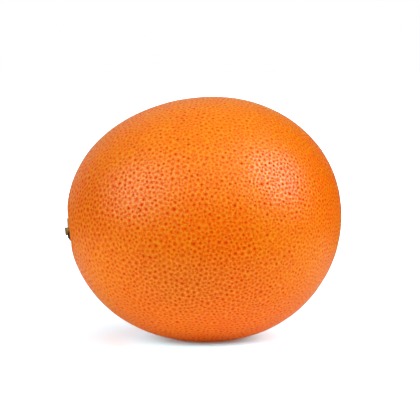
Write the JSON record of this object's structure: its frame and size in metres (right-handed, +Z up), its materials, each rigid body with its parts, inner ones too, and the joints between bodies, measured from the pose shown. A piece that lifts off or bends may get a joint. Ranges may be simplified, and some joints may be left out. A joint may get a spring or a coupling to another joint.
{
  "type": "pomelo",
  "caption": "Whole orange-skinned pomelo lying on its side on a small flat spot, with its dry calyx and the cut stub of its stem at one end.",
  "frame": {"origin": "on the resting surface, under the middle of the object's box", "axes": "+Z up, +X level towards the blossom end; the stem end faces -X, turned 4 degrees towards -Y and 4.8 degrees down"},
  "size_m": [0.1114, 0.1016, 0.0982],
  "materials": {
    "rind": "waxy orange citrus skin, semi-gloss, with darker red-orange oil glands, each a shallow pit",
    "dry_calyx": "dry matt grey-brown, ridged",
    "cut_stem": "dry matt tan wood with a darker bark rim"
  },
  "bodies": {
    "root": {"fruit": "rind", "calyx": "dry_calyx", "stem_stub": "cut_stem"}
  },
  "joints": []
}
